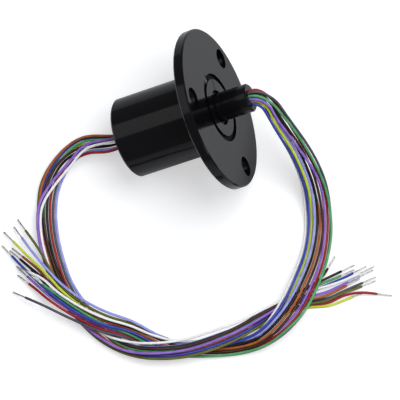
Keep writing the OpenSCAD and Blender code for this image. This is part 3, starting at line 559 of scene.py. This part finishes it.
patch_range.inputs["From Max"].default_value = 0.8
tone = plastic_skin.nodes.new("ShaderNodeMix")
tone.data_type = "RGBA"
gloss = plastic_skin.nodes.new("ShaderNodeMath")
gloss.operation = "MULTIPLY_ADD"
gloss.inputs[1].default_value = 0.12
wires = plastic_skin.links
wires.new(where.outputs["Object"], grain.inputs["Vector"])
wires.new(where.outputs["Object"], patches.inputs["Vector"])
wires.new(put_in.outputs["Scale"], grain.inputs["Scale"])
wires.new(patches.outputs["Fac"], patch_range.inputs["Value"])
wires.new(patch_range.outputs["Result"], tone.inputs["Factor"])
wires.new(put_in.outputs["Base"], tone.inputs["A"])
wires.new(put_in.outputs["Pale"], tone.inputs["B"])
wires.new(tone.outputs["Result"], put_out.inputs["Color"])
wires.new(patches.outputs["Fac"], gloss.inputs[0])
wires.new(put_in.outputs["Gloss"], gloss.inputs[2])
wires.new(gloss.outputs["Value"], put_out.inputs["Roughness"])
wires.new(grain.outputs["Fac"], put_out.inputs["Height"])


def plastic(name, base, pale, gloss_level, grain_scale, grain_relief, sheen=0.5):
    settings = {"Base": (*base, 1), "Pale": (*pale, 1), "Gloss": gloss_level, "Scale": grain_scale}
    material, shader = skinned(name, plastic_skin, settings, grain_relief, 0.00004)
    shader.inputs["Specular IOR Level"].default_value = sheen
    return material


def dress(node, material):
    """Gives a solid of the frame its finish, in every slot that it has."""
    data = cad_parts[node].data
    data.materials.clear()
    data.materials.append(material)


dress("housing", plastic(
    "moulded_black", (0.0022, 0.0022, 0.0034), (0.0032, 0.0032, 0.0045), 0.05, 1500, 0.02, sheen=0.25))

# ------------------------------------------------------------- front cover
# A separate black disc closes the recess in the flange. Its raised centre is
# smooth and flush with the flange's face, and the thin lip round it is dull.
cover_black = plastic(
    "cover_black", (0.0022, 0.0022, 0.0034), (0.0035, 0.0035, 0.005), 0.06, 1800, 0.03, sheen=0.25)
nodes, links = cover_black.node_tree.nodes, cover_black.node_tree.links
lip_place = 2.0
lip_front = flange_back.dot(axis_way) + lip_place
where = nodes.new("ShaderNodeTexCoord")
along = nodes.new("ShaderNodeVectorMath")
along.operation = "DOT_PRODUCT"
along.inputs[1].default_value = axis_way
dull_lip = nodes.new("ShaderNodeMapRange")
dull_lip.inputs["From Min"].default_value = (lip_front + 0.05) * mm
dull_lip.inputs["From Max"].default_value = (lip_front + 0.15) * mm
dull_lip.inputs["To Min"].default_value = 0.9
dull_lip.inputs["To Max"].default_value = 0.07
links.new(where.outputs["Object"], along.inputs[0])
links.new(along.outputs["Value"], dull_lip.inputs["Value"])
links.new(dull_lip.outputs["Result"], nodes["Principled BSDF"].inputs["Roughness"])
dress("front_cover", cover_black)

# -------------------------------------------------------------- locking key
# A small grey key bridges the groove round the cover and keeps the cover from
# turning. Its skin is coarser and duller than the flange's.
dress("cover_key", plastic("key_grey", (0.03, 0.03, 0.035), (0.06, 0.06, 0.065), 0.35, 1500, 0.2))

# -------------------------------------------------------------- rotor shaft
# The hollow shaft is black plastic too, a little paler and duller than the
# moulding and with a finer grain.
dress("rotor_shaft", plastic(
    "shaft_black", (0.003, 0.003, 0.0042), (0.0045, 0.0045, 0.006), 0.12, 2200, 0.04, sheen=0.25))

# ------------------------------------------- snap ring, races, balls, cages
# Blackened spring steel holds the shaft; the two bearings have ground steel
# races, polished balls and pressed brass cages.
metal_skin, put_in, put_out = new_group("metal_skin", [
    ("Base", "NodeSocketColor", (0.5, 0.5, 0.5, 1)),
    ("Dark", "NodeSocketColor", (0.3, 0.3, 0.3, 1)), ("Gloss", "NodeSocketFloat", 0.3)], [
    ("Color", "NodeSocketColor"), ("Roughness", "NodeSocketFloat"), ("Height", "NodeSocketFloat")])
where = metal_skin.nodes.new("ShaderNodeTexCoord")
marks = metal_skin.nodes.new("ShaderNodeTexNoise")
marks.inputs["Scale"].default_value = 700
marks.inputs["Detail"].default_value = 5
tone = metal_skin.nodes.new("ShaderNodeMix")
tone.data_type = "RGBA"
gloss = metal_skin.nodes.new("ShaderNodeMath")
gloss.operation = "MULTIPLY_ADD"
gloss.inputs[1].default_value = 0.2
wires = metal_skin.links
wires.new(where.outputs["Object"], marks.inputs["Vector"])
wires.new(marks.outputs["Fac"], tone.inputs["Factor"])
wires.new(put_in.outputs["Base"], tone.inputs["A"])
wires.new(put_in.outputs["Dark"], tone.inputs["B"])
wires.new(tone.outputs["Result"], put_out.inputs["Color"])
wires.new(marks.outputs["Fac"], gloss.inputs[0])
wires.new(put_in.outputs["Gloss"], gloss.inputs[2])
wires.new(gloss.outputs["Value"], put_out.inputs["Roughness"])
wires.new(marks.outputs["Fac"], put_out.inputs["Height"])


def metal(name, base, dark, gloss_level):
    settings = {"Base": (*base, 1), "Dark": (*dark, 1), "Gloss": gloss_level}
    material, shader = skinned(name, metal_skin, settings, 0.08, 0.00002)
    shader.inputs["Metallic"].default_value = 1.0
    return material


dress("snap_ring", metal("blackened_steel", (0.06, 0.06, 0.065), (0.03, 0.03, 0.03), 0.35))
ground_steel = metal("ground_steel", (0.55, 0.55, 0.56), (0.42, 0.42, 0.43), 0.22)
dress("bearing_outer_races", ground_steel)
dress("bearing_inner_races", ground_steel)
dress("bearing_balls", metal("polished_balls", (0.72, 0.72, 0.73), (0.62, 0.62, 0.63), 0.04))
dress("ball_cages", metal("pressed_brass", (0.62, 0.42, 0.15), (0.48, 0.30, 0.10), 0.3))

# ----------------------------------------------------- contact rings, stack
# Gold-plated rings alternate with blue-grey moulded spacers, and a dark sleeve
# clamps them on the shaft.
dress("contact_rings", metal("gold_plate", (0.85, 0.60, 0.20), (0.72, 0.47, 0.13), 0.14))
dress("ring_spacers", plastic("spacer_blue", (0.05, 0.09, 0.19), (0.08, 0.13, 0.25), 0.4, 1200, 0.2))
dress("stack_sleeve", plastic("sleeve_black", (0.015, 0.015, 0.018), (0.03, 0.03, 0.033), 0.4, 1200, 0.2))

# --------------------------------------------------- brush board and wires
# A green board along the top of the cavity carries a pair of gold alloy wires
# for each ring, soldered in beads.
dress("brush_board", plastic("board_green", (0.02, 0.13, 0.05), (0.04, 0.19, 0.08), 0.3, 900, 0.15))
dress("brush_wires", metal("gold_wire", (0.85, 0.62, 0.24), (0.7, 0.48, 0.16), 0.18))
dress("brush_bases", metal("solder", (0.6, 0.6, 0.61), (0.42, 0.42, 0.43), 0.25))

# -------------------------------------------------------------- epoxy fills
# Dark potting compound holds both bundles where they go in. It set in the
# holes by itself, so its skin is coarse and uneven.
potting = plastic("potting", (0.02, 0.02, 0.023), (0.04, 0.04, 0.044), 0.22, 700, 0.5)
dress("rotor_fill", potting)
dress("rear_fill", potting)

# ---------------------------------------------------------- table and light
# A white table top that glows a little for the camera, under one large soft
# lamp, two weaker ones and a pale even room.
table_reach = 1.5
table_mesh = bmesh.new()
bmesh.ops.create_grid(table_mesh, x_segments=1, y_segments=1, size=table_reach)
white_top = bpy.data.materials.new("white_top")
white_top.use_nodes = True
nodes, links = white_top.node_tree.nodes, white_top.node_tree.links
shader = nodes["Principled BSDF"]
shader.inputs["Base Color"].default_value = (0.60, 0.61, 0.64, 1)
shader.inputs["Roughness"].default_value = 0.9
glow = nodes.new("ShaderNodeEmission")
glow.inputs["Color"].default_value = (1, 1, 1, 1)
seen_by = nodes.new("ShaderNodeLightPath")
seen_glow = nodes.new("ShaderNodeMath")
seen_glow.operation = "MULTIPLY"
seen_glow.inputs[1].default_value = 0.50
together = nodes.new("ShaderNodeAddShader")
links.new(seen_by.outputs["Is Camera Ray"], seen_glow.inputs[0])
links.new(seen_glow.outputs["Value"], glow.inputs["Strength"])
links.new(shader.outputs["BSDF"], together.inputs[0])
links.new(glow.outputs["Emission"], together.inputs[1])
links.new(together.outputs["Shader"], nodes["Material Output"].inputs["Surface"])
table = as_piece(table_mesh, "table_top", white_top)


def soft_lamp(name, place, across, watts):
    """A square lamp that faces the point on the table under the middle of the body."""
    light = bpy.data.lights.new(name, "AREA")
    light.shape = "RECTANGLE"
    light.size = across
    light.size_y = across
    light.energy = watts
    lamp = bpy.data.objects.new(name, light)
    lamp.location = place
    lamp.rotation_euler = (-Vector(place)).to_track_quat("-Z", "Y").to_euler()
    bpy.context.scene.collection.objects.link(lamp)


soft_lamp("overhead_softbox", (0.35, 0.1, 1.1), 0.8, 11)
soft_lamp("left_softbox", (-0.75, 0.2, 0.75), 0.7, 1.2)
soft_lamp("front_fill", (0.5, -0.6, 0.5), 0.5, 1.0)
room = bpy.data.worlds.new("pale_room")
room.use_nodes = True
nodes, links = room.node_tree.nodes, room.node_tree.links
air = nodes["Background"]
air.inputs["Color"].default_value = (1, 1, 1, 1)
seen_by = nodes.new("ShaderNodeLightPath")
level = nodes.new("ShaderNodeMapRange")
level.inputs["To Min"].default_value = 0.22
level.inputs["To Max"].default_value = 1.0
links.new(seen_by.outputs["Is Camera Ray"], level.inputs["Value"])
links.new(level.outputs["Result"], air.inputs["Strength"])
bpy.context.scene.world = room
bpy.context.scene.view_settings.view_transform = "Standard"
